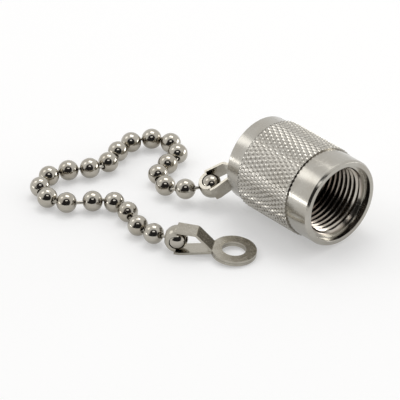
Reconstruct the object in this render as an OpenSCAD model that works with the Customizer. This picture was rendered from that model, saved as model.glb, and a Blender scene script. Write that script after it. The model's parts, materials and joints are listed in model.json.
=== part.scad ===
// Screw-on dust cap for a threaded coaxial connector, with its ball chain and two chain couplings.
// The cap lies on its knurl with its axis along X and its mouth toward +X.
// The origin is on the cap's axis, where the full thread begins behind the mouth.

/* [Cap] */
// Overall length of the cap
cap_length = 18.1; // [15:0.1:24]
// Thickness of the rim round the counterbore
rim_wall = 0.9; // [0.6:0.05:1.6]
// Length of the smooth collar
collar_length = 4.6; // [2:0.1:6]
// Step from the collar down to the smooth band at the rear
band_step = 0.15; // [0.05:0.05:0.4]
// Length of the smooth band at the rear
band_length = 3; // [1:0.1:5]
// Bevel at the mouth's outer edge
mouth_bevel = 0.35; // [0.1:0.05:0.5]
// Bevel at the rear edge
rear_bevel = 0.25; // [0.05:0.05:0.8]
// Thickness of the closed end
end_wall = 3; // [2:0.1:5]

/* [Mouth and thread] */
// Diameter at the roots of the inside thread
thread_major_d = 11.1; // [9:0.05:14]
// Depth of the inside thread
thread_depth = 0.425; // [0.3:0.005:0.5]
// Step from the roots of the thread out to the plain counterbore
counterbore_step = 0.55; // [0.3:0.05:0.8]
// Depth of the plain counterbore
counterbore_depth = 1.15; // [0.4:0.05:2.5]
// Length of the cone that leads into the thread
lead_in = 0.6; // [0.2:0.05:1.5]
// Length of the thread
thread_length = 8.6; // [4:0.1:9]
// Step from the roots of the thread out to the plain relief behind it
relief_step = 0.25; // [0.05:0.05:0.5]

/* [Knurl] */
// Height of the knurl's points above the collar
knurl_rise = 0.3; // [0.28:0.02:0.8]
// Depth of the knurl's grooves
knurl_depth = 0.24; // [0.1:0.02:0.26]
// Diamonds round the cap
knurl_around = 60; // [24:2:72]
// Half diamonds along the cap
knurl_rows = 14; // [6:2:18]

/* [Gasket and rivet] */
// Thickness of the sealing gasket
gasket_thickness = 1.3; // [0.6:0.1:2]
// Diameter of the hole in the gasket
gasket_hole_d = 6; // [5.2:0.1:9]
// Clearance between the gasket and the relief
gasket_clearance = 0.05; // [0:0.05:0.3]
// Diameter of the rivet's head
rivet_head_d = 5.6; // [4.4:0.1:6.2]
// Height of the rivet's domed head
rivet_head_height = 0.9; // [0.5:0.05:1.4]
// Diameter of the rivet's shank in the end wall
rivet_shank_d = 2.4; // [1.6:0.1:2.8]
// Diameter of the rivet's set end inside the cap
rivet_set_d = 4; // [3:0.1:4.6]
// Height of the rivet's set end
rivet_set_height = 0.6; // [0.3:0.05:1]
// Radial clearance of the rivet in its holes
rivet_clearance = 0.05; // [0.02:0.01:0.2]

/* [Couplings] */
// Thickness of the coupling strip
strip_thickness = 0.38; // [0.2:0.02:0.5]
// Width of the coupling strip
strip_width = 2.6; // [2.2:0.1:3]
// Outside diameter of the coupling's ring
ring_d = 6.9; // [6.5:0.1:8]
// Diameter of the hole in the ring
ring_hole_d = 3.7; // [3:0.1:4.2]
// Slit between the two layers of the ring
ring_slit = 0.04; // [0.02:0.01:0.2]
// Distance from the ring's centre to the ball in the cup
coupling_reach = 8.7; // [8.2:0.1:12]
// Height of the ball in the cup above the ring's middle plane
ball_lift = 0.55; // [0.2:0.05:1]
// Diameter of the hole in the cup's end
cup_hole_d = 2; // [1.4:0.1:2]
// Clearance between the ball and the cup
cup_clearance = 0.1; // [0.05:0.01:0.3]
// Slope of the upper leg between the ring and the ball
upper_leg_slope = 42; // [38:1:55]
// Angle that the cap's coupling is bent away from the cap
cap_coupling_lean = 33; // [28:1:45]
// Play of the ring between the cap and the rivet's head
ring_play = 0.2; // [0.1:0.02:0.6]

/* [Chain] */
// Diameter of a ball
ball_d = 3.2; // [3:0.05:3.6]
// Wall of a ball
ball_wall = 0.2; // [0.12:0.01:0.24]
// Diameter of the holes in a ball
ball_hole_d = 0.84; // [0.8:0.01:0.88]
// Diameter of a link's rod
rod_d = 0.5; // [0.3:0.02:0.54]
// Diameter of a link's round heads
head_d = 0.9; // [0.86:0.01:0.94]
// Distance between the centres of a link's heads
link_length = 2.25; // [2.15:0.01:2.35]

/* [Hidden] */
$fn = 96;
eps = 0.01;

// The chain as it lies, from the ball in the cap's coupling to the ball in the free one:
// the heading and the rise of each ball's hole, and the gap that shows after each ball
ball_heading = [
    -124, -143, -185, -223, -273, -224, -181, -131, -101, -57, -77, -127,
    -119, -89, -39, -1, 44, 61, 21, -29, -9, 14, 25];
ball_rise = [
    -12, -11, -6, -1, 0, 0, 0, 0, 0, 0, 0, 0,
    0, 0, 0, 0, 0, 0, 0, 0, 0, 5, 5];
ball_gap = [
    0.95, 0.55, 0.6, 0.1, 0.15, 0.1, 0.1, 0.15, 0.1, 0.2, 0.1, 0.15,
    0.15, 0.1, 0.1, 0.15, 0.8, 0.15, 0.25, 0.95, 0.3, 0.95];
// Heading of the free coupling, from its ball to its ring
free_heading = 38;

balls = len(ball_heading);
links = balls - 1;
function two_digits(k) = k < 10 ? str("0", k) : str(k);

// The cap's diameters follow its thread
thread_minor_d = thread_major_d - 2 * thread_depth;
counterbore_d = thread_major_d + 2 * counterbore_step;
relief_d = thread_major_d + 2 * relief_step;
collar_d = counterbore_d + 2 * rim_wall;
band_d = collar_d - 2 * band_step;

// Places along the cap's axis
mouth_x = counterbore_depth + lead_in;
rear_x = mouth_x - cap_length;
floor_x = rear_x + end_wall;
knurl_front = mouth_x - collar_length;
knurl_rear = rear_x + band_length;
knurl_r = collar_d / 2 + knurl_rise;
table_z = -knurl_r;

// The rivet and the coupling's ring on it
rivet_shoulder_r = ring_hole_d / 2 - rivet_clearance;
ring_stack = 2 * strip_thickness + ring_slit;
shoulder_length = ring_stack + ring_play;

// The coupling's strip, in the ring's plane and in the plane of its legs
neck_x = ring_d / 2 - 0.15;
cup_r = ball_d / 2 + cup_clearance;
leg_r = cup_r + strip_thickness / 2;
layer_z = (strip_thickness + ring_slit) / 2;
bend_r = 0.5;

// A ball's hole, halfway through its wall, is where a link turns
ball_r = ball_d / 2;
ball_in_r = ball_r - ball_wall;
hole_r = ball_hole_d / 2;
hole_reach = (sqrt(pow(ball_r, 2) - pow(hole_r, 2)) + sqrt(pow(ball_in_r, 2) - pow(hole_r, 2))) / 2;

function unit(v) = v / norm(v);
function direction(heading, rise) =
    [cos(heading) * cos(rise), sin(heading) * cos(rise), sin(rise)];
function turned(v, angle) =
    [v.x * cos(angle) - v.y * sin(angle), v.x * sin(angle) + v.y * cos(angle)];

// The chain's route: each link points halfway between the holes of its two balls
ball_axis = [for (k = [0 : balls - 1]) direction(ball_heading[k], ball_rise[k])];
link_axis = [for (k = [0 : links - 1]) unit(ball_axis[k] + ball_axis[k + 1])];
rod_shown = [for (k = [0 : links - 1])
    ball_d + ball_gap[k] - 2 * hole_reach * (ball_axis[k] * link_axis[k])];
ball_step = [for (k = [0 : links - 1])
    hole_reach * (ball_axis[k] + ball_axis[k + 1]) + rod_shown[k] * link_axis[k]];
ball_offset = [for (k = 0, p = [0, 0, 0]; k < balls; p = k < links ? p + ball_step[k] : p, k = k + 1) p];
chain_drop = -min([for (p = ball_offset) p.z]);

// The ball in a coupling, seen from the ring's centre: along the ring's plane and away from it
function ball_in_coupling(lean) =
    let (p = turned([coupling_reach - neck_x, ball_lift], lean)) [neck_x + p.x, p.y];
cap_ball = ball_in_coupling(cap_coupling_lean);
free_ball = ball_in_coupling(0);
ring_x = rear_x - shoulder_length / 2;

// The cap's coupling droops until the chain's flat stretch lies on the table
droop = asin((-table_z - ball_r - chain_drop) / cap_ball.x);
first_ball = [ring_x - cap_ball.y, -cap_ball.x * cos(droop), -cap_ball.x * sin(droop)];
ball_at = [for (p = ball_offset) first_ball + p];

// The free coupling lies on the rim of its ring and on its cup
free_height = ball_at[balls - 1].z - table_z;
free_base = [free_ball.x + ring_d / 2, free_ball.y + ring_stack / 2];
free_tilt = asin(free_height / norm(free_base)) - atan2(free_base.y, free_base.x);

module along(v) {
    rotate([0, acos(v.z), atan2(v.y, v.x)]) children();
}

// Cap

module cap_profile() {
    bevel_depth = mouth_bevel / 2;
    polygon([
        [0, rear_x],
        [band_d / 2 - rear_bevel, rear_x],
        [band_d / 2, rear_x + rear_bevel],
        [band_d / 2, knurl_rear + 2 * eps],
        [collar_d / 2, knurl_rear + 2 * eps],
        [collar_d / 2, mouth_x - mouth_bevel],
        [collar_d / 2 - bevel_depth, mouth_x],
        [0, mouth_x]]);
}

module cavity_profile() {
    minor_r = thread_minor_d / 2;
    relief_cone = (relief_d - thread_minor_d) / 2;
    polygon([
        [0, floor_x],
        [relief_d / 2, floor_x],
        [relief_d / 2, -thread_length - relief_cone],
        [minor_r, -thread_length],
        [minor_r, 0],
        [thread_major_d / 2, lead_in],
        [counterbore_d / 2, lead_in],
        [counterbore_d / 2, mouth_x + eps],
        [0, mouth_x + eps]]);
}

// Diamond knurl, a ring sunk in the cap's wall: grooves cross at every odd point of a lattice, and
// the even points stand up
module knurl() {
    columns = 2 * knurl_around;
    rings = knurl_rows + 3;
    root_r = band_d / 2 - 0.4;
    function at(i, j) = j % rings * columns + i % columns;
    function radius(i, j) = j == 0 || j == rings - 1 ? root_r : knurl_r - (i + j) % 2 * knurl_depth;
    function place(j) =
        knurl_rear + (knurl_front - knurl_rear) * max(0, min(j - 1, knurl_rows)) / knurl_rows;
    points = [for (j = [0 : rings - 1], i = [0 : columns - 1])
        let (r = radius(i, j), a = 360 * i / columns)
        [r * cos(a), r * sin(a), place(j)]];
    sides = [for (j = [0 : rings - 1], i = [0 : columns - 1]) each
        (i + j) % 2 == 1
        ? [[at(i, j), at(i + 1, j + 1), at(i + 1, j)], [at(i, j), at(i, j + 1), at(i + 1, j + 1)]]
        : [[at(i, j), at(i, j + 1), at(i + 1, j)], [at(i + 1, j), at(i, j + 1), at(i + 1, j + 1)]]];
    polyhedron(points, sides);
}

module cap_body() {
    color([0.8, 0.79, 0.76]) rotate([0, 90, 0]) difference() {
        union() {
            rotate_extrude() cap_profile();
            knurl();
        }
        rotate_extrude() cavity_profile();
        translate([0, 0, rear_x - eps])
            cylinder(h = end_wall + 2 * eps, d = rivet_shank_d + 2 * rivet_clearance);
    }
}

module gasket() {
    color([0.08, 0.08, 0.08]) translate([floor_x, 0, 0]) rotate([0, 90, 0]) difference() {
        cylinder(h = gasket_thickness, d = relief_d - 2 * gasket_clearance);
        translate([0, 0, -eps]) cylinder(h = gasket_thickness + 2 * eps, d = gasket_hole_d);
    }
}

// The head is a shallow dome on a short rim, and the set end spreads on the cap's floor
module rivet() {
    head_r = rivet_head_d / 2;
    rim = rivet_head_height / 3;
    dome = rivet_head_height - rim;
    dome_r = (pow(head_r, 2) + pow(dome, 2)) / (2 * dome);
    head_x = rear_x - shoulder_length;
    color([0.78, 0.77, 0.74]) rotate([0, 90, 0]) {
        intersection() {
            translate([0, 0, head_x - rivet_head_height]) cylinder(h = rivet_head_height, r = head_r);
            translate([0, 0, head_x - rivet_head_height + dome_r]) sphere(r = dome_r);
        }
        translate([0, 0, head_x - eps]) cylinder(h = shoulder_length + eps, r = rivet_shoulder_r);
        translate([0, 0, rear_x - eps]) cylinder(h = end_wall + 2 * eps, d = rivet_shank_d);
        translate([0, 0, floor_x]) cylinder(h = rivet_set_height, d = rivet_set_d);
    }
}

// Couplings

// Points of a path, with each inner corner rounded by an arc
function rounded(path, r) = [for (i = [0 : len(path) - 1]) each
    i == 0 || i == len(path) - 1 ? [path[i]] :
    let (
        a = unit(path[i - 1] - path[i]),
        b = unit(path[i + 1] - path[i]),
        half = acos(max(-1, min(1, a * b))) / 2,
        centre = path[i] + unit(a + b) * r / sin(half),
        start = path[i] + a * r / tan(half) - centre,
        turn = (cross(a, b) > 0 ? -1 : 1) * (180 - 2 * half))
    [for (k = [0 : 4]) centre + turned(start, turn * k / 4)]];

function normal_of(a, b) = let (d = unit(b - a)) [-d.y, d.x];

function beside(path, gap) = [for (i = [0 : len(path) - 1])
    let (
        before = normal_of(path[max(i - 1, 0)], path[max(i, 1)]),
        after = normal_of(path[min(i, len(path) - 2)], path[min(i + 1, len(path) - 1)]),
        m = unit(before + after))
    path[i] + m * gap / (m * before)];

module strip(path) {
    side_a = beside(path, strip_thickness / 2);
    side_b = beside(path, -strip_thickness / 2);
    rotate([90, 0, 0]) linear_extrude(strip_width, center = true)
        polygon(concat(side_a, [for (i = [len(path) - 1 : -1 : 0]) side_b[i]]));
}

// A strip folded round the ball: a dished end with a hole for the chain, and two legs that end in
// rings, one on the other. The legs are bent up from the rings by the lean.
module coupling(lean) {
    function in_legs(x, z) =
        let (p = turned([x - neck_x, z], lean)) [neck_x + p.x, p.y];
    flat_x = neck_x + (ball_lift + leg_r - layer_z) / tan(upper_leg_slope);
    ball = ball_in_coupling(lean);
    upper = [
        [neck_x - 1, layer_z],
        in_legs(neck_x, layer_z),
        in_legs(flat_x, ball_lift + leg_r),
        in_legs(coupling_reach + cup_r / 8, ball_lift + leg_r)];
    lower = [
        [neck_x - 1, -layer_z],
        in_legs(neck_x, -layer_z),
        in_legs(coupling_reach - cup_r / 3, ball_lift - leg_r),
        in_legs(coupling_reach + cup_r / 8, ball_lift - leg_r)];
    color([0.72, 0.7, 0.66]) difference() {
        union() {
            for (side = [-1, 1]) translate([0, 0, side * layer_z])
                cylinder(h = strip_thickness, d = ring_d, center = true);
            strip(rounded(upper, bend_r));
            strip(rounded(lower, bend_r));
            translate([ball.x, 0, ball.y]) rotate([0, -lean, 0]) intersection() {
                difference() {
                    sphere(r = cup_r + strip_thickness);
                    sphere(r = cup_r);
                }
                translate([0, -strip_width / 2, -2 * cup_r]) cube([2 * cup_r, strip_width, 4 * cup_r]);
            }
        }
        translate([0, 0, -ring_stack]) cylinder(h = 2 * ring_stack, d = ring_hole_d);
        translate([ball.x, 0, ball.y]) rotate([0, 90 - lean, 0]) cylinder(h = 2 * cup_r, d = cup_hole_d);
    }
}

module cap_coupling() {
    translate([ring_x, 0, 0]) rotate([90 + droop, 0, 0]) rotate([0, -90, 0]) coupling(cap_coupling_lean);
}

module free_coupling() {
    translate(ball_at[balls - 1]) rotate([0, 0, free_heading + 180]) rotate([0, -free_tilt, 0])
        translate([-free_ball.x, 0, -free_ball.y]) coupling(0);
}

// Ball chain

module chain_ball(k) {
    color([0.75, 0.74, 0.71]) translate(ball_at[k - 1]) along(ball_axis[k - 1]) difference() {
        sphere(r = ball_r);
        sphere(r = ball_in_r);
        cylinder(h = 3 * ball_r, r = hole_r, center = true);
    }
}

module chain_link(k) {
    middle = ball_at[k - 1] + hole_reach * ball_axis[k - 1] + rod_shown[k - 1] / 2 * link_axis[k - 1];
    color([0.7, 0.68, 0.64]) translate(middle) along(link_axis[k - 1]) {
        cylinder(h = link_length, d = rod_d, center = true);
        for (end = [-1, 1]) translate([0, 0, end * link_length / 2]) sphere(d = head_d, $fn = 48);
    }
}

cap_body();
gasket();
rivet();
cap_coupling();
free_coupling();
for (k = [1 : balls]) chain_ball(k);
for (k = [1 : links]) chain_link(k);
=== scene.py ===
import bmesh
import bpy
import json
import math
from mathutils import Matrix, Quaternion, Vector


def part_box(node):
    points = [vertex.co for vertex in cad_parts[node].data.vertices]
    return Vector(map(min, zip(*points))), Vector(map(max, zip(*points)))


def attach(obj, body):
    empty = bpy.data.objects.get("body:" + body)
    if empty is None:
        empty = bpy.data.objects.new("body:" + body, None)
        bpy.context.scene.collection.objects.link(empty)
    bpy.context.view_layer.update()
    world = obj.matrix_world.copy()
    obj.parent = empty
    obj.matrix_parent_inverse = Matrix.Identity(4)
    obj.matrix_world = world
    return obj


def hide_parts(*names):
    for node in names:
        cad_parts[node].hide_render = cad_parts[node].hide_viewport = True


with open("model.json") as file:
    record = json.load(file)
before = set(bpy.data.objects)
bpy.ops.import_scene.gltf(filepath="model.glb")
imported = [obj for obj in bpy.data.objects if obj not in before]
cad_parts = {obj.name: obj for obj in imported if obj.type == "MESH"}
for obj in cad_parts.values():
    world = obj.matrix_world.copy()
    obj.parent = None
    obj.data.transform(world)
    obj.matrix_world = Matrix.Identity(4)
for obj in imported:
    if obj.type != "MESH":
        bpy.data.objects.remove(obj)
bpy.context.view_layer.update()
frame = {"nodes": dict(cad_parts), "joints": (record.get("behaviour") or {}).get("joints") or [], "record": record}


# Camera
# The picture is taken from 33 degrees above the table, on the side of the mouth and the free coupling.
# The camera stands far off with a long lens, turned a little about its own axis.
def side(azimuth, elevation):
    """The direction toward one side and height, in degrees. Azimuth 0 is the front, along -Y."""
    azimuth, elevation = math.radians(azimuth), math.radians(elevation)
    return Vector((
        math.sin(azimuth) * math.cos(elevation),
        -math.cos(azimuth) * math.cos(elevation),
        math.sin(elevation)))


camera_aim = Vector((-0.01709, -0.01161, -0.003))
camera_back = side(49.05, 33.21)
camera_distance = 0.5556
camera_roll = math.radians(-1.407)
camera = bpy.data.objects.new("camera", bpy.data.cameras.new("camera"))
bpy.context.scene.collection.objects.link(camera)
camera.location = camera_aim + camera_back * camera_distance
camera.rotation_mode = "QUATERNION"
camera.rotation_quaternion = (
    camera_back.to_track_quat("Z", "Y") @ Quaternion((0, 0, 1), camera_roll))
camera.data.sensor_width = 36
camera.data.lens = 329
camera.data.clip_start = 0.02
camera.data.clip_end = 10
bpy.context.scene.camera = camera


# Cap
# One turned and nickel-plated brass piece: a smooth rear band, a diamond knurl rolled between two
# shoulders, a smooth collar, a bevelled rim, a plain counterbore and an inside thread behind a cone.
class Nodes:
    """Adds nodes to a tree. A value is a number, a vector, a socket, or None to leave the input as it is."""

    def __init__(self, tree):
        self.tree = tree

    def add(self, kind, *values, **settings):
        """Adds a node with these inputs and settings. Returns its first output."""
        node = self.tree.nodes.new(kind)
        for name, value in settings.items():
            setattr(node, name, value)
        for socket, value in zip([s for s in node.inputs if s.enabled], values):
            self.put(value, socket)
        shown = [s for s in node.outputs if s.enabled]
        return shown[0] if shown else None

    def put(self, value, socket):
        if isinstance(value, bpy.types.NodeSocket):
            self.tree.links.new(value, socket)
        elif value is not None:
            socket.default_value = value

    def math(self, operation, *values):
        return self.add("ShaderNodeMath", *values, operation=operation)

    def own_place(self):
        """The place on a piece, in its own coordinates."""
        return self.tree.nodes.new("ShaderNodeTexCoord").outputs["Object"]

    def split(self, vector):
        """The parts of a vector along X, Y and Z."""
        node = self.tree.nodes.new("ShaderNodeSeparateXYZ")
        self.put(vector, node.inputs[0])
        return node.outputs

    def weigh(self, first, first_share, second, second_share):
        """The sum of two values, each times its share."""
        first = self.math("MULTIPLY", first, first_share)
        return self.math("ADD", first, self.math("MULTIPLY", second, second_share))


def growing_tree(name, **sizes):
    """A Geometry Nodes tree with a named input for each size. Returns it, its nodes and its inputs."""
    tree = bpy.data.node_groups.new(name, "GeometryNodeTree")
    tree.interface.new_socket("Geometry", in_out="INPUT", socket_type="NodeSocketGeometry")
    kinds = {int: "NodeSocketInt", float: "NodeSocketFloat", tuple: "NodeSocketVector"}
    for label, value in sizes.items():
        socket = tree.interface.new_socket(label, in_out="INPUT", socket_type=kinds[type(value)])
        socket.default_value = value
    socket = tree.interface.new_socket("Material", in_out="INPUT", socket_type="NodeSocketMaterial")
    tree.interface.new_socket("Geometry", in_out="OUTPUT", socket_type="NodeSocketGeometry")
    source = tree.nodes.new("NodeGroupInput")
    return tree, Nodes(tree), {socket.name: socket for socket in source.outputs}


def joined(nodes, first, second):
    """Two geometries as one."""
    join = nodes.tree.nodes.new("GeometryNodeJoinGeometry")
    nodes.tree.links.new(first, join.inputs[0])
    nodes.tree.links.new(second, join.inputs[0])
    return join.outputs[0]


def round_x(nodes, x, radius, angle):
    """A place along the X axis, at a distance from it and an angle round it."""
    return nodes.add(
        "ShaderNodeCombineXYZ", x,
        nodes.math("MULTIPLY", radius, nodes.math("COSINE", angle)),
        nodes.math("MULTIPLY", radius, nodes.math("SINE", angle)))


weld_distance = 2e-6
least_edge = 1e-6


def close_tree(nodes, geometry):
    """Makes instances real, welds what meets and sends it out of the tree."""
    geometry = nodes.add("GeometryNodeRealizeInstances", geometry)
    geometry = nodes.add("GeometryNodeMergeByDistance", geometry, None, weld_distance)
    nodes.add("NodeGroupOutput", geometry)


def add_tree(thing, tree, material, **sizes):
    """Gives a thing the tree as its last modifier, with these sizes set by their sockets' identifiers."""
    modifier = thing.modifiers.new(tree.name, "NODES")
    modifier.node_group = tree
    for socket in tree.interface.items_tree:
        if socket.in_out == "INPUT" and socket.name in sizes:
            modifier[socket.identifier] = sizes[socket.name]
        if socket.in_out == "INPUT" and socket.name == "Material":
            modifier[socket.identifier] = material


def new_thing(name, mesh):
    thing = bpy.data.objects.new(name, mesh)
    bpy.context.scene.collection.objects.link(thing)
    return thing


def settle(thing, sharp=35):
    """Makes a thing its finished plain mesh, with faces outward and corners past an angle sharp."""
    bpy.context.view_layer.update()
    depsgraph = bpy.context.evaluated_depsgraph_get()
    mesh = bpy.data.meshes.new_from_object(thing.evaluated_get(depsgraph))
    thing.modifiers.clear()
    thing.data = mesh
    mesh.name = thing.name
    work = bmesh.new()
    work.from_mesh(mesh)
    bmesh.ops.dissolve_degenerate(work, dist=least_edge, edges=work.edges)
    bmesh.ops.recalc_face_normals(work, faces=work.faces)
    work.to_mesh(mesh)
    work.free()
    mesh.shade_smooth()
    mesh.set_sharp_from_angle(angle=math.radians(sharp))


def lathe(name, outline, columns, closed):
    """A mesh turned about the X axis from an outline of (place along the axis, radius), closed or open."""
    corners = [
        (x, r * math.cos(2 * math.pi * i / columns), r * math.sin(2 * math.pi * i / columns))
        for x, r in outline for i in range(columns)]
    last = len(outline) if closed else len(outline) - 1
    faces = [
        (j * columns + i,
         j * columns + (i + 1) % columns,
         (j + 1) % len(outline) * columns + (i + 1) % columns,
         (j + 1) % len(outline) * columns + i)
        for j in range(last) for i in range(columns)]
    mesh = bpy.data.meshes.new(name)
    mesh.from_pydata(corners, [], faces)
    return mesh


def softened(outline, radius, steps=3):
    """An outline with each corner between its ends rounded by an arc."""
    points = [Vector(p) for p in outline]
    result = [points[0]]
    for before, corner, after in zip(points, points[1:], points[2:]):
        a = (before - corner).normalized()
        b = (after - corner).normalized()
        half = a.angle(b) / 2
        reach = min(radius / math.tan(half), (before - corner).length / 2, (after - corner).length / 2)
        # a corner that is nearly straight needs no arc
        if half > math.radians(88):
            result.append(corner)
            continue
        start = corner + a * reach
        finish = corner + b * reach
        for k in range(steps + 1):
            t = k / steps
            result.append(start * (1 - t) ** 2 + corner * 2 * t * (1 - t) + finish * t ** 2)
    result.append(points[-1])
    return [tuple(p) for p in result]


cap_low, cap_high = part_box("cap_body")
mouth_x = cap_high.x
rear_x = cap_low.x
collar_length = 0.0046
band_length = 0.003
end_wall = 0.003
knurl_front = mouth_x - collar_length
knurl_rear = rear_x + band_length
knurl_seat = 0.00005
floor_x = rear_x + end_wall
knurl_r = cap_high.y
collar_r = knurl_r - 0.0003
band_r = collar_r - 0.00015
rim_bevel = 0.00045
rear_bevel = 0.00025
cap_edge = 0.00006
counterbore_r = 0.0061
lead_in = 0.0006
mounts = {mount["name"]: mount for mount in frame["record"]["mounts"]}
thread_minor_r = mounts["connector_thread"]["dims"]["r_mm"] / 1000
thread_major_r = 0.00555
thread_length = mounts["connector_thread"]["dims"]["length_mm"] / 1000
thread_pitch = 0.0254 / 28
thread_flat = 0.2
relief_r = 0.0058
relief_x = -thread_length - (relief_r - thread_minor_r)
rivet_hole_r = 0.00125
cap_columns = 120

# From the thread's front end, out over the rim and the outside, and in again to its rear end
cap_outline = softened([
    (lead_in, thread_major_r),
    (lead_in, counterbore_r),
    (mouth_x, counterbore_r),
    (mouth_x, collar_r - rim_bevel / 2),
    (mouth_x - rim_bevel, collar_r),
    (knurl_front - knurl_seat, collar_r),
    (knurl_rear + knurl_seat, collar_r),
    (knurl_rear + knurl_seat, band_r),
    (rear_x + rear_bevel, band_r),
    (rear_x, band_r - rear_bevel),
    (rear_x, rivet_hole_r),
    (floor_x, rivet_hole_r),
    (floor_x, relief_r),
    (relief_x, relief_r)], cap_edge)

# The thread is a grid laid along its helix. Its radius is the helical groove's, the front cone's or the
# relief's, whichever is largest, and its ends meet the turned part.
thread_tree, grow, size = growing_tree(
    "inside_thread", Pitch=thread_pitch, Minor=thread_minor_r, Major=thread_major_r, Front=lead_in,
    Rear=relief_x, Length=thread_length, Columns=cap_columns, Rows=16)
span = grow.math("SUBTRACT", size["Front"], size["Rear"])
turns = grow.math("CEIL", grow.math("ADD", grow.math("DIVIDE", span, size["Pitch"]), 1.0))
columns = grow.math("ADD", size["Columns"], 1.0)
rows = grow.math("ADD", grow.math("MULTIPLY", turns, size["Rows"]), 1.0)
grid = grow.add("GeometryNodeMeshGrid", 1.0, 1.0, columns, rows)
across, along = grow.split(grow.add("GeometryNodeInputPosition"))[:2]
round_part = grow.math("ADD", across, 0.5)
angle = grow.math("MULTIPLY", round_part, 2 * math.pi)
turn_place = grow.math("MULTIPLY", grow.math("ADD", along, 0.5), turns)
row_place = grow.math("MULTIPLY", turn_place, size["Pitch"])
helix = grow.math("MULTIPLY", grow.math("SUBTRACT", round_part, 1.0), size["Pitch"])
free_x = grow.math("ADD", grow.math("ADD", size["Rear"], row_place), helix)
x = grow.math("MINIMUM", grow.math("MAXIMUM", free_x, size["Rear"]), size["Front"])
turn = grow.math("FRACT", grow.math("SUBTRACT", grow.math("DIVIDE", x, size["Pitch"]), round_part))
wave = grow.math("MULTIPLY", grow.math("ABSOLUTE", grow.math("SUBTRACT", turn, 0.5)), 2.0)
groove_r = grow.add(
    "ShaderNodeMapRange", wave, thread_flat, 1 - thread_flat, size["Minor"], size["Major"])
cone = grow.math("DIVIDE", grow.math("SUBTRACT", size["Major"], size["Minor"]), size["Front"])
front_r = grow.math("ADD", size["Minor"], grow.math("MULTIPLY", x, cone))
rear_r = grow.math("SUBTRACT", grow.math("SUBTRACT", size["Minor"], size["Length"]), x)
radius = grow.math("MAXIMUM", grow.math("MAXIMUM", groove_r, front_r), rear_r)
thread = grow.add("GeometryNodeSetPosition", grid, None, round_x(grow, x, radius, angle))
thread = grow.add("GeometryNodeSetMaterial", thread, None, size["Material"])
close_tree(grow, joined(grow, size["Geometry"], thread))

# A knurl's diamond is a low pyramid with a small flat top, on every odd point of a lattice that is two
# columns wide for each diamond. The diamonds are wrapped round the cap and cut off at its shoulders.
knurl_tree, grow, size = growing_tree(
    "diamond_knurl", Diamonds=60, Rows=14, Crest=knurl_r, Depth=0.00024, Root=0.0064,
    Front=knurl_front, Rear=knurl_rear)
columns = grow.math("MULTIPLY", size["Diamonds"], 2.0)
last_column = grow.math("SUBTRACT", columns, 1.0)
lattice = grow.add(
    "GeometryNodeMeshGrid", last_column, size["Rows"], columns, grow.math("ADD", size["Rows"], 1.0))
across, along, up = grow.split(grow.add("GeometryNodeInputPosition"))
i = grow.math("ADD", across, grow.math("DIVIDE", last_column, 2.0))
j = grow.math("ADD", along, grow.math("DIVIDE", size["Rows"], 2.0))
centred = grow.add("GeometryNodeSetPosition", lattice, None, grow.add("ShaderNodeCombineXYZ", i, j, 0.0))
point_sum = grow.math("ROUND", grow.math("ADD", across, along))
even = grow.math("LESS_THAN", grow.math("MODULO", point_sum, 2.0), 0.5)
tops = grow.add("GeometryNodeDeleteGeometry", centred, even)

# A diamond rises in two steps, a flank and a rubbed top: each has a height and then a width to narrow to
diamond = grow.add("GeometryNodeMeshCircle", 4, 1.0, fill_type="NGON")
for height, width in ((0.72, 0.36), (0.28, 0.55)):
    extruded = grow.tree.nodes.new("GeometryNodeExtrudeMesh")
    extruded.mode = "FACES"
    grow.put(diamond, extruded.inputs["Mesh"])
    extruded.inputs["Offset"].default_value = (0, 0, 1)
    extruded.inputs["Offset Scale"].default_value = height
    scaled = grow.tree.nodes.new("GeometryNodeScaleElements")
    grow.put(extruded.outputs["Mesh"], scaled.inputs["Geometry"])
    grow.put(extruded.outputs["Top"], scaled.inputs["Selection"])
    scaled.inputs["Scale"].default_value = width
    diamond = scaled.outputs["Geometry"]
diamonds = grow.add("GeometryNodeInstanceOnPoints", tops, None, diamond)
diamonds = grow.add("GeometryNodeRealizeInstances", diamonds)
angle = grow.math("DIVIDE", grow.math("MULTIPLY", across, 2 * math.pi), columns)
share = grow.add("ShaderNodeClamp", grow.math("DIVIDE", along, size["Rows"]), 0.0, 1.0)
x = grow.add("ShaderNodeMapRange", share, 0.0, 1.0, size["Rear"], size["Front"])
valley = grow.math("SUBTRACT", size["Crest"], size["Depth"])
radius = grow.math("ADD", valley, grow.math("MULTIPLY", size["Depth"], up))
diamonds = grow.add("GeometryNodeSetPosition", diamonds, None, round_x(grow, x, radius, angle))

# The ring under the diamonds is sunk in the cap's wall, with its ends as shoulders
sleeve = grow.add("GeometryNodeMeshGrid", columns, 3.0, grow.math("ADD", columns, 1.0), 4)
front_half = grow.math("GREATER_THAN", along, 0.0)
x = grow.add("ShaderNodeMapRange", front_half, 0.0, 1.0, size["Rear"], size["Front"])
outer = grow.math("GREATER_THAN", grow.math("ABSOLUTE", along), 1.0)
radius = grow.add("ShaderNodeMapRange", outer, 0.0, 1.0, size["Root"], valley)
sleeve = grow.add("GeometryNodeSetPosition", sleeve, None, round_x(grow, x, radius, angle))
knurl = grow.add("GeometryNodeMergeByDistance", joined(grow, diamonds, sleeve), None, weld_distance)
knurl = grow.add("GeometryNodeSetMaterial", knurl, None, size["Material"])
grow.add("NodeGroupOutput", joined(grow, size["Geometry"], knurl))


def shared_effect(name, inputs, outputs):
    """A shader node group. Returns it, its nodes, its inputs and its output node."""
    tree = bpy.data.node_groups.new(name, "ShaderNodeTree")
    for label, kind, value in inputs:
        socket = tree.interface.new_socket(label, in_out="INPUT", socket_type=kind)
        if value is not None:
            socket.default_value = value
    for label, kind in outputs:
        tree.interface.new_socket(label, in_out="OUTPUT", socket_type=kind)
    source = tree.nodes.new("NodeGroupInput")
    return tree, Nodes(tree), {s.name: s for s in source.outputs}, tree.nodes.new("NodeGroupOutput")


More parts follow.
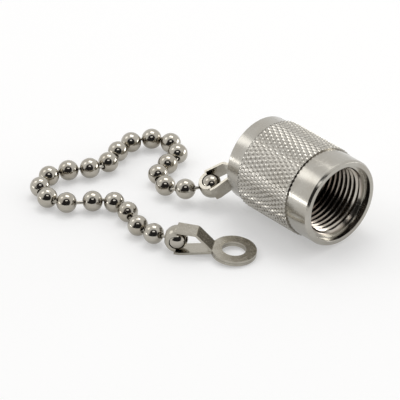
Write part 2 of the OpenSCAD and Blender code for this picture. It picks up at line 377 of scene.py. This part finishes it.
def use_effect(nodes, effect, **values):
    """Places a shader node group in a material. Returns its outputs by name."""
    node = nodes.tree.nodes.new("ShaderNodeGroup")
    node.node_tree = effect
    for label, value in values.items():
        nodes.put(value, node.inputs[label])
    return {s.name: s for s in node.outputs}


def mixed(nodes, share, first, second):
    """A colour between two, by a share."""
    node = nodes.tree.nodes.new("ShaderNodeMix")
    node.data_type = "RGBA"
    nodes.put(share, node.inputs["Factor"])
    for label, colour in (("A", first), ("B", second)):
        socket = [s for s in node.inputs if s.name == label and s.type == "RGBA"][0]
        nodes.put((*colour, 1) if isinstance(colour, tuple) else colour, socket)
    return [s for s in node.outputs if s.type == "RGBA"][0]


def new_finish(name):
    """A material with its Principled shader, and its nodes."""
    material = bpy.data.materials.new(name)
    material.use_nodes = True
    return material, Nodes(material.node_tree), material.node_tree.nodes["Principled BSDF"]


# Nickel plate that has been handled: a broad warm stain, small dull specks and hairline scratches
plate_effect, paint, given, result = shared_effect(
    "handled_nickel",
    [("Place", "NodeSocketVector", None), ("Stain Scale", "NodeSocketFloat", 260.0),
     ("Speck Scale", "NodeSocketFloat", 2600.0), ("Scratch Scale", "NodeSocketFloat", 700.0)],
    [("Stain", "NodeSocketFloat"), ("Specks", "NodeSocketFloat"), ("Scratches", "NodeSocketFloat"),
     ("Height", "NodeSocketFloat")])
broad = paint.add("ShaderNodeTexNoise", given["Place"], given["Stain Scale"], 4.0, 0.55)
stain = paint.add("ShaderNodeMapRange", broad, 0.42, 0.68, 0.0, 1.0)
fine = paint.add("ShaderNodeTexNoise", given["Place"], given["Speck Scale"], 3.0, 0.6)
specks = paint.add("ShaderNodeMapRange", fine, 0.6, 0.74, 0.0, 1.0)
scratches = 0.0
for turn, stretch in (((0.4, 0.2, 0.7), (1.0, 16.0, 1.0)), ((1.1, -0.6, -0.5), (14.0, 1.0, 1.2))):
    laid = paint.add("ShaderNodeMapping", given["Place"], None, turn, stretch)
    streak = paint.add("ShaderNodeTexNoise", laid, given["Scratch Scale"], 2.0, 0.5)
    line = paint.add("ShaderNodeMapRange", streak, 0.64, 0.69, 0.0, 1.0)
    scratches = paint.math("MAXIMUM", scratches, line)
height = paint.math("SUBTRACT", paint.math("MULTIPLY", fine, 0.5), paint.math("MULTIPLY", scratches, 0.5))
for label, value in (("Stain", stain), ("Specks", specks), ("Scratches", scratches), ("Height", height)):
    paint.put(value, result.inputs[label])

# Fine lines that a lathe tool leaves: they follow the place along the X axis and the distance from it
turning_effect, paint, given, result = shared_effect(
    "turning_lines",
    [("Place", "NodeSocketVector", None), ("Lines", "NodeSocketFloat", 9000.0)],
    [("Lines", "NodeSocketFloat"), ("Radius", "NodeSocketFloat")])
x, y, z = paint.split(given["Place"])
radius = paint.math("SQRT", paint.weigh(y, y, z, z))
fed = paint.math("ADD", x, radius)
lines = paint.add("ShaderNodeTexNoise", fed, given["Lines"], 3.0, 0.7, noise_dimensions="1D")
paint.put(lines, result.inputs["Lines"])
paint.put(radius, result.inputs["Radius"])


def raise_by(paint, shader, height, distance):
    """Gives a finish its relief, from a map of heights and the distance in metres that they span."""
    bump = paint.tree.nodes.new("ShaderNodeBump")
    bump.inputs["Strength"].default_value = 1
    bump.inputs["Distance"].default_value = distance
    paint.put(height, bump.inputs["Height"])
    paint.put(bump.outputs["Normal"], shader.inputs["Normal"])


def turned_finish(name, bright, warm, rough, line_height, lines=9000.0):
    """Turned and plated metal. Returns its material, nodes, shader, distance from the axis and colour."""
    material, paint, shader = new_finish(name)
    place = paint.own_place()
    plate = use_effect(paint, plate_effect, Place=place)
    turned = use_effect(paint, turning_effect, Place=place, Lines=lines)
    share = paint.weigh(plate["Stain"], 0.55, plate["Specks"], 0.3)
    colour = mixed(paint, share, bright, warm)
    paint.put(colour, shader.inputs["Base Color"])
    shader.inputs["Metallic"].default_value = 1
    dull = paint.weigh(plate["Specks"], 0.12, plate["Scratches"], 0.1)
    dull = paint.math("ADD", dull, paint.math("MULTIPLY", turned["Lines"], 0.16))
    paint.put(paint.math("ADD", dull, rough), shader.inputs["Roughness"])
    height = paint.math("ADD", turned["Lines"], paint.math("MULTIPLY", plate["Height"], 0.35))
    raise_by(paint, shader, height, line_height)
    return material, paint, shader, turned["Radius"], colour


turned_metal = turned_finish(
    "turned_nickel", bright=(0.445, 0.428, 0.388), warm=(0.36, 0.33, 0.28), rough=0.1,
    line_height=2.2e-6)[0]

# On the knurl the points are rubbed bright, and the grooves are darkened: partly a little grime, partly painted
# shade where less light reaches
knurl_metal, paint, shader, radius, colour = turned_finish(
    "knurled_nickel", bright=(0.465, 0.447, 0.408), warm=(0.385, 0.362, 0.318), rough=0.12,
    line_height=2.5e-6, lines=14000.0)
knurl_grime_and_groove_shade = (0.18, 0.16, 0.13)
# darker toward the knurl's valleys: painted shade there, with a little grime
low = paint.add("ShaderNodeMapRange", radius, knurl_r - 0.00025, knurl_r - 0.0001, 1.0, 0.0)
colour = mixed(paint, paint.math("MULTIPLY", low, 0.6), colour, knurl_grime_and_groove_shade)
paint.put(colour, shader.inputs["Base Color"])

# Down the thread and deep in its grooves the colour is darkened: partly thinner, dirtier plating, partly painted
# shade where little light gets in
bore_metal, paint, shader, radius, colour = turned_finish(
    "bore_nickel", bright=(0.53, 0.495, 0.44), warm=(0.38, 0.335, 0.28), rough=0.1,
    line_height=2.5e-6)
bore_dirt_and_shade = (0.15, 0.11, 0.085)
dirt_and_shade_starts = -0.0005
dirt_and_shade_is_full = -0.0055
# darker toward the thread's roots: painted shade there, with dirt
groove = paint.add("ShaderNodeMapRange", radius, thread_minor_r + 0.00024, thread_major_r, 0.0, 0.75)
x = paint.split(paint.own_place())[0]
# darker the deeper into the bore: painted shade there, with thinner, dirtier plating
inward = paint.add("ShaderNodeMapRange", x, dirt_and_shade_starts, dirt_and_shade_is_full, 0.0, 0.88)
colour = mixed(paint, paint.math("MAXIMUM", groove, inward), colour, bore_dirt_and_shade)
paint.put(colour, shader.inputs["Base Color"])

cap = new_thing("cap_shell", lathe("cap_shell", cap_outline, columns=cap_columns, closed=False))
cap.data.materials.append(turned_metal)
add_tree(cap, thread_tree, bore_metal)
add_tree(cap, knurl_tree, knurl_metal)
settle(cap)
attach(cap, "cap")
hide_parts("cap_body")

# Gasket
# A flat ring of black rubber, punched from sheet. It lies in the relief behind the thread, on the cap's
# floor, and seals against the front of the connector.
gasket_low, gasket_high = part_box("gasket")
gasket_r = gasket_high.y
gasket_hole_r = 0.003
gasket_middle_r = (gasket_r + gasket_hole_r) / 2
gasket_edge = 0.00008
gasket_outline = softened([
    (gasket_low.x, gasket_middle_r),
    (gasket_low.x, gasket_r),
    (gasket_high.x, gasket_r),
    (gasket_high.x, gasket_hole_r),
    (gasket_low.x, gasket_hole_r),
    (gasket_low.x, gasket_middle_r)], gasket_edge)[:-1]

rubber, paint, shader = new_finish("black_rubber")
place = paint.own_place()
grain = paint.add("ShaderNodeTexNoise", place, 5200.0, 4.0, 0.65)
bloom = paint.add("ShaderNodeTexNoise", place, 420.0, 3.0, 0.5)
bloom = paint.add("ShaderNodeMapRange", bloom, 0.45, 0.7, 0.0, 1.0)
colour = mixed(paint, paint.math("MULTIPLY", bloom, 0.6), (0.03, 0.028, 0.027), (0.085, 0.08, 0.075))
paint.put(colour, shader.inputs["Base Color"])
paint.put(paint.add("ShaderNodeMapRange", grain, 0.3, 0.7, 0.5, 0.75), shader.inputs["Roughness"])
raise_by(paint, shader, grain, 8e-6)

gasket = new_thing("gasket_ring", lathe("gasket_ring", gasket_outline, columns=96, closed=True))
gasket.data.materials.append(rubber)
settle(gasket)
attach(gasket, "cap")
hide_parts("gasket")

# Rivet
# A plated brass rivet through the cap's end. Its domed head and its shoulder carry the coupling's ring,
# and its inner end is spread on the cap's floor.
rivet_low, rivet_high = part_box("rivet")
rivet_head_r = 0.0028
rivet_head = 0.0009
shoulder_r = 0.0018
shank_r = 0.0012
set_end_r = 0.002
rivet_edge = 0.00007
pole_r = 1e-7
dome = rivet_head * 2 / 3
dome_r = (rivet_head_r ** 2 + dome ** 2) / (2 * dome)
crown_rows = 10
crown = [
    (rivet_low.x + dome_r * (1 - math.cos(angle)), dome_r * math.sin(angle))
    for angle in [math.asin(rivet_head_r / dome_r) * k / crown_rows for k in range(crown_rows + 1)]]
crown[0] = (rivet_low.x, pole_r)
rivet_outline = softened(crown + [
    (rivet_low.x + rivet_head, rivet_head_r),
    (rivet_low.x + rivet_head, shoulder_r),
    (rear_x, shoulder_r),
    (rear_x, shank_r),
    (floor_x, shank_r),
    (floor_x, set_end_r),
    (rivet_high.x, set_end_r),
    (rivet_high.x, pole_r)], rivet_edge)

rivet_metal = turned_finish(
    "rivet_nickel", bright=(0.47, 0.455, 0.42), warm=(0.38, 0.355, 0.3), rough=0.13,
    line_height=1.2e-6, lines=4500.0)[0]
rivet = new_thing("rivet_pin", lathe("rivet_pin", rivet_outline, columns=64, closed=False))
rivet.data.materials.append(rivet_metal)
closing = rivet.modifiers.new("closed_ends", "WELD")
closing.merge_threshold = weld_distance
settle(rivet)
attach(rivet, "cap")
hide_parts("rivet")


# Couplings
# Each is one strip of plated brass, punched with two rings and a hole, dished in the middle for the ball
# and folded until the rings lie on each other. Its edges are rounded by tumbling.
def plated_finish(name, stain_scale, speck_scale, scratch_scale):
    """Plated metal that isn't turned. Returns its material, nodes, shader and the plate's masks."""
    material, paint, shader = new_finish(name)
    shader.inputs["Metallic"].default_value = 1
    plate = use_effect(paint, plate_effect, Place=paint.own_place(), **{
        "Stain Scale": stain_scale, "Speck Scale": speck_scale, "Scratch Scale": scratch_scale})
    return material, paint, shader, plate


strip_metal, paint, shader, plate = plated_finish(
    "satin_strip_nickel", stain_scale=420.0, speck_scale=3400.0, scratch_scale=900.0)
share = paint.weigh(plate["Stain"], 0.6, plate["Specks"], 0.4)
colour = mixed(paint, share, (0.42, 0.397, 0.345), (0.3, 0.272, 0.218))
paint.put(colour, shader.inputs["Base Color"])
dull = paint.weigh(plate["Specks"], 0.16, plate["Scratches"], 0.12)
paint.put(paint.math("ADD", dull, 0.16), shader.inputs["Roughness"])
raise_by(paint, shader, plate["Height"], 5e-6)

coupling_edge = 0.00005
for body in ("cap_coupling", "free_coupling"):
    coupling = new_thing(body + "_strip", frame["nodes"][body].data.copy())
    coupling.data.name = coupling.name
    coupling.data.materials.clear()
    coupling.data.materials.append(strip_metal)
    # the solid's mesh is loose triangles, so they are welded and its flat faces made whole
    work = bmesh.new()
    work.from_mesh(coupling.data)
    bmesh.ops.remove_doubles(work, verts=work.verts, dist=weld_distance)
    bmesh.ops.dissolve_limit(work, angle_limit=math.radians(0.6), verts=work.verts, edges=work.edges)
    work.to_mesh(coupling.data)
    work.free()
    edges = coupling.modifiers.new("tumbled_edges", "BEVEL")
    edges.width = coupling_edge
    edges.segments = 2
    edges.limit_method = "ANGLE"
    edges.angle_limit = math.radians(40)
    # the flat faces stay flat beside their rounded edges
    settle(coupling, sharp=12)
    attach(coupling, body)
    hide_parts(body)

# Balls
# Hollow nickel-plated beads, 3.2 mm across. Each is pressed from sheet brass round the heads of two links,
# with a hole at each end for the links, a rolled lip round the hole, and a seam from hole to hole.
ball_tree, grow, size = growing_tree(
    "hollow_ball", Centre=(0.0, 0.0, 0.0), Axis=(0.0, 0.0, 1.0), Radius=0.0016, Wall=0.0002,
    Hole=0.00042, Columns=48, Outside=26, Lip=6, Inside=12)
half_wall = grow.math("DIVIDE", size["Wall"], 2.0)
middle_r = grow.math("SUBTRACT", size["Radius"], half_wall)
start = grow.math("ARCSINE", grow.math("DIVIDE", grow.math("ADD", size["Hole"], half_wall), middle_r))
# the grid's rows go down the outside, round one lip, up the inside and round the other lip
first_lip = grow.math("ADD", size["Outside"], size["Lip"])
second_lip = grow.math("ADD", first_lip, size["Inside"])
all_rows = grow.math("ADD", second_lip, size["Lip"])
grid = grow.add(
    "GeometryNodeMeshGrid", 1.0, all_rows,
    grow.math("ADD", size["Columns"], 1.0), grow.math("ADD", all_rows, 1.0))
across, along = grow.split(grow.add("GeometryNodeInputPosition"))[:2]
share = grow.math("ADD", across, 0.5)
row = grow.math("ADD", along, grow.math("DIVIDE", all_rows, 2.0))
outside = grow.add("ShaderNodeMapRange", row, 0.0, size["Outside"], 0.0, 1.0)
inside = grow.add("ShaderNodeMapRange", row, first_lip, second_lip, 0.0, 1.0)
lip_one = grow.add("ShaderNodeMapRange", row, size["Outside"], first_lip, 0.0, 1.0)
lip_two = grow.add("ShaderNodeMapRange", row, second_lip, all_rows, 0.0, 1.0)
reach = grow.math("SUBTRACT", math.pi, grow.math("MULTIPLY", start, 2.0))
down = grow.math("ADD", start, grow.math("MULTIPLY", reach, grow.math("SUBTRACT", outside, inside)))
roll = grow.math("MULTIPLY", grow.math("ADD", lip_one, lip_two), math.pi)
out = grow.math("ADD", middle_r, grow.math("MULTIPLY", half_wall, grow.math("COSINE", roll)))
beyond = grow.math("MULTIPLY", half_wall, grow.math("SINE", roll))
sine = grow.math("SINE", down)
cosine = grow.math("COSINE", down)
from_axis = grow.weigh(out, sine, beyond, cosine)
up = grow.math("SUBTRACT", grow.math("MULTIPLY", out, cosine), grow.math("MULTIPLY", beyond, sine))
angle = grow.math("MULTIPLY", share, 2 * math.pi)
wrapped = grow.add(
    "ShaderNodeCombineXYZ",
    grow.math("MULTIPLY", from_axis, grow.math("COSINE", angle)),
    grow.math("MULTIPLY", from_axis, grow.math("SINE", angle)), up)
marked = grow.add(
    "GeometryNodeStoreNamedAttribute", grid, None, "UVMap",
    grow.add("ShaderNodeCombineXYZ", share, grow.math("DIVIDE", row, size["Outside"]), 0.0),
    data_type="FLOAT2", domain="CORNER")
ball = grow.add("GeometryNodeSetPosition", marked, None, wrapped)
turned = grow.add("FunctionNodeAlignRotationToVector", None, None, size["Axis"], axis="Z")
ball = grow.add("GeometryNodeTransform", ball, size["Centre"], turned)
ball = grow.add("GeometryNodeSetMaterial", ball, None, size["Material"])
close_tree(grow, ball)

ball_metal, paint, shader, plate = plated_finish(
    "polished_ball_nickel", stain_scale=520.0, speck_scale=3000.0, scratch_scale=1100.0)
# the seam's half width is a share of the way round the ball
seam_width = 0.006
around = paint.split(paint.add("ShaderNodeUVMap", uv_map="UVMap"))[0]
from_seam = paint.math("ABSOLUTE", paint.math("SUBTRACT", around, 0.5))
seam = paint.add("ShaderNodeMapRange", from_seam, 0.0, seam_width, 1.0, 0.0)
share = paint.weigh(plate["Stain"], 0.5, plate["Specks"], 0.35)
colour = mixed(paint, share, (0.435, 0.41, 0.36), (0.31, 0.272, 0.212))
colour = mixed(paint, paint.math("MULTIPLY", seam, 0.8), colour, (0.16, 0.13, 0.1))
paint.put(colour, shader.inputs["Base Color"])
dull = paint.weigh(plate["Specks"], 0.14, plate["Scratches"], 0.08)
paint.put(paint.math("ADD", dull, 0.09), shader.inputs["Roughness"])
raise_by(paint, shader, paint.weigh(plate["Height"], 0.4, seam, -3.0), 5e-6)

joints = {joint["name"]: joint for joint in frame["joints"]}
balls = sorted(name for name in frame["nodes"] if name.startswith("ball_"))
ball_centres = [(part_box(name)[0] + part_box(name)[1]) / 2 for name in balls]
for k, (name, centre) in enumerate(zip(balls, ball_centres), 1):
    # a ball's holes point at the joints where its links turn
    if k < len(balls):
        axis = Vector(joints["link_%02d_start" % k]["pos_m"]) - centre
    else:
        axis = centre - Vector(joints["link_%02d_end" % (k - 1)]["pos_m"])
    ball = new_thing(name + "_bead", bpy.data.meshes.new(name + "_bead"))
    add_tree(ball, ball_tree, ball_metal, Centre=centre[:], Axis=axis.normalized()[:])
    settle(ball, sharp=60)
    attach(ball, name)
    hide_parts(name)

# Links
# Each is a short plated rod with a round head upset on both ends. The heads are inside two neighbouring
# balls and can't come out of their holes, so only the rod shows between the balls.
link_tree, grow, size = growing_tree(
    "headed_link", Start=(0.0, 0.0, 0.0), End=(0.0, 0.0, 0.001), Rod=0.00025, Head=0.00045,
    Columns=24, Rows=44)
along = grow.add("ShaderNodeVectorMath", size["End"], size["Start"], operation="SUBTRACT")
length = grow.tree.nodes.new("ShaderNodeVectorMath")
length.operation = "LENGTH"
grow.put(along, length.inputs[0])
half = grow.math("DIVIDE", length.outputs["Value"], 2.0)
grid = grow.add("GeometryNodeMeshGrid", 1.0, 2.0, grow.math("ADD", size["Columns"], 1.0), size["Rows"])
across, row = grow.split(grow.add("GeometryNodeInputPosition"))[:2]
angle = grow.math("MULTIPLY", grow.math("ADD", across, 0.5), 2 * math.pi)
# rows crowd at the heads: the place goes as the sine of the row
crowded = grow.math("SINE", grow.math("MULTIPLY", row, math.pi / 2))
up = grow.math("MULTIPLY", crowded, grow.math("ADD", half, size["Head"]))
from_head = grow.math("SUBTRACT", grow.math("ABSOLUTE", up), half)
squares = grow.math(
    "SUBTRACT", grow.math("MULTIPLY", size["Head"], size["Head"]),
    grow.math("MULTIPLY", from_head, from_head))
head_r = grow.math("SQRT", grow.math("MAXIMUM", squares, 0.0))
rod_r = grow.math("MULTIPLY", size["Rod"], grow.math("LESS_THAN", from_head, 0.0))
radius = grow.math("MAXIMUM", head_r, rod_r)
wrapped = grow.add(
    "ShaderNodeCombineXYZ", grow.math("MULTIPLY", radius, grow.math("COSINE", angle)),
    grow.math("MULTIPLY", radius, grow.math("SINE", angle)), up)
link = grow.add("GeometryNodeSetPosition", grid, None, wrapped)
turned = grow.add("FunctionNodeAlignRotationToVector", None, None, along, axis="Z")
middle = grow.add("ShaderNodeVectorMath", size["Start"], size["End"], operation="ADD")
scale = grow.tree.nodes.new("ShaderNodeVectorMath")
scale.operation = "SCALE"
scale.inputs["Scale"].default_value = 0.5
grow.put(middle, scale.inputs[0])
link = grow.add("GeometryNodeTransform", link, scale.outputs["Vector"], turned)
link = grow.add("GeometryNodeSetMaterial", link, None, size["Material"])
close_tree(grow, link)

link_metal, paint, shader, plate = plated_finish(
    "drawn_rod_nickel", stain_scale=900.0, speck_scale=5200.0, scratch_scale=1900.0)
share = paint.weigh(plate["Stain"], 0.6, plate["Specks"], 0.3)
colour = mixed(paint, share, (0.46, 0.44, 0.395), (0.32, 0.285, 0.225))
paint.put(colour, shader.inputs["Base Color"])
dull = paint.math("MULTIPLY", plate["Specks"], 0.15)
paint.put(paint.math("ADD", dull, 0.2), shader.inputs["Roughness"])
raise_by(paint, shader, plate["Height"], 4e-6)

# half the way between the centres of a link's heads
link_half = 0.001125
for k in range(1, len(balls)):
    name = "link_%02d" % k
    # the joints lie in the holes, and the heads beyond them
    hole_one = Vector(joints[name + "_start"]["pos_m"])
    hole_two = Vector(joints[name + "_end"]["pos_m"])
    middle = (hole_one + hole_two) / 2
    along = (hole_two - hole_one).normalized() * link_half
    link = new_thing(name + "_rod", bpy.data.meshes.new(name + "_rod"))
    add_tree(link, link_tree, link_metal, Start=(middle - along)[:], End=(middle + along)[:])
    settle(link, sharp=50)
    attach(link, name)
    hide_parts(name)

# Floor and light
# A wide pale table in a white room that is dark on the camera's side, as where a photographer stands.
# Soft lamps stand round the object, half a metre off, two of them low over the table.
floor_z = -0.00731
floor_half = 8
floor_mesh = bpy.data.meshes.new("floor")
floor_mesh.from_pydata(
    [(-floor_half, -floor_half, floor_z), (floor_half, -floor_half, floor_z),
     (floor_half, floor_half, floor_z), (-floor_half, floor_half, floor_z)], [], [(0, 1, 2, 3)])
floor = new_thing("floor", floor_mesh)
floor_paint, paint, shader = new_finish("pale_table")
shader.inputs["Base Color"].default_value = (0.66, 0.66, 0.66, 1)
shader.inputs["Roughness"].default_value = 0.9
shader.inputs["Specular IOR Level"].default_value = 0
# the camera and the metal see the table as nearly white, and its shadows stay
added_white = 0.34
shader.inputs["Emission Color"].default_value = (1, 1, 1, 1)
seen = paint.tree.nodes.new("ShaderNodeLightPath")
rays = paint.math("ADD", seen.outputs["Is Camera Ray"], seen.outputs["Is Glossy Ray"])
rays = paint.math("ADD", rays, seen.outputs["Is Transmission Ray"])
paint.put(paint.math("MULTIPLY", rays, added_white), shader.inputs["Emission Strength"])
floor.data.materials.append(floor_paint)


def dark_patch(nodes, way, azimuth, elevation, outer, inner):
    """A mask round one side and height of the room: 1 up to the inner angle and 0 past the outer one."""
    dot = nodes.tree.nodes.new("ShaderNodeVectorMath")
    dot.operation = "DOT_PRODUCT"
    nodes.put(way, dot.inputs[0])
    dot.inputs[1].default_value = side(azimuth, elevation)
    return nodes.add(
        "ShaderNodeMapRange", dot.outputs["Value"],
        math.cos(math.radians(outer)), math.cos(math.radians(inner)), 0.0, 1.0)


world = bpy.data.worlds.new("studio")
bpy.context.scene.world = world
world.use_nodes = True
room_light = 0.96
dark_share = 0.93
paint = Nodes(world.node_tree)
background = world.node_tree.nodes["Background"]
way = world.node_tree.nodes.new("ShaderNodeTexCoord").outputs["Generated"]
behind_camera = dark_patch(paint, way, azimuth=49, elevation=34, outer=48, inner=38)
beside_camera = dark_patch(paint, way, azimuth=22, elevation=4, outer=38, inner=26)
dark = paint.math("MAXIMUM", behind_camera, beside_camera)
bright = paint.math("SUBTRACT", room_light, paint.math("MULTIPLY", dark, dark_share))
background.inputs["Color"].default_value = (1, 0.995, 0.985, 1)
paint.put(bright, background.inputs["Strength"])

lamp_distance = 0.5


def soft_lamp(name, azimuth, elevation, wide, high, brightness):
    """A soft lamp on one side and at one height. Its width and height are in degrees, as they look."""
    back = side(azimuth, elevation)
    lamp = bpy.data.objects.new(name, bpy.data.lights.new(name, "AREA"))
    lamp.data.shape = "RECTANGLE"
    lamp.data.size = 2 * lamp_distance * math.tan(math.radians(wide) / 2)
    lamp.data.size_y = 2 * lamp_distance * math.tan(math.radians(high) / 2)
    lamp.data.energy = brightness * math.pi * lamp.data.size * lamp.data.size_y
    lamp.location = camera_aim + back * lamp_distance
    lamp.rotation_mode = "QUATERNION"
    lamp.rotation_quaternion = back.to_track_quat("Z", "Y")
    bpy.context.scene.collection.objects.link(lamp)


soft_lamp("top_lamp", azimuth=214, elevation=67, wide=30, high=22, brightness=3.0)
soft_lamp("left_lamp", azimuth=-62, elevation=43, wide=20, high=22, brightness=1.25)
soft_lamp("low_left_lamp", azimuth=-37, elevation=1.5, wide=22, high=4, brightness=5.0)
soft_lamp("back_lamp", azimuth=150, elevation=8, wide=36, high=16, brightness=4.0)
soft_lamp("front_lamp", azimuth=49, elevation=55, wide=24, high=12, brightness=1.6)
bpy.context.scene.view_settings.view_transform = "Standard"
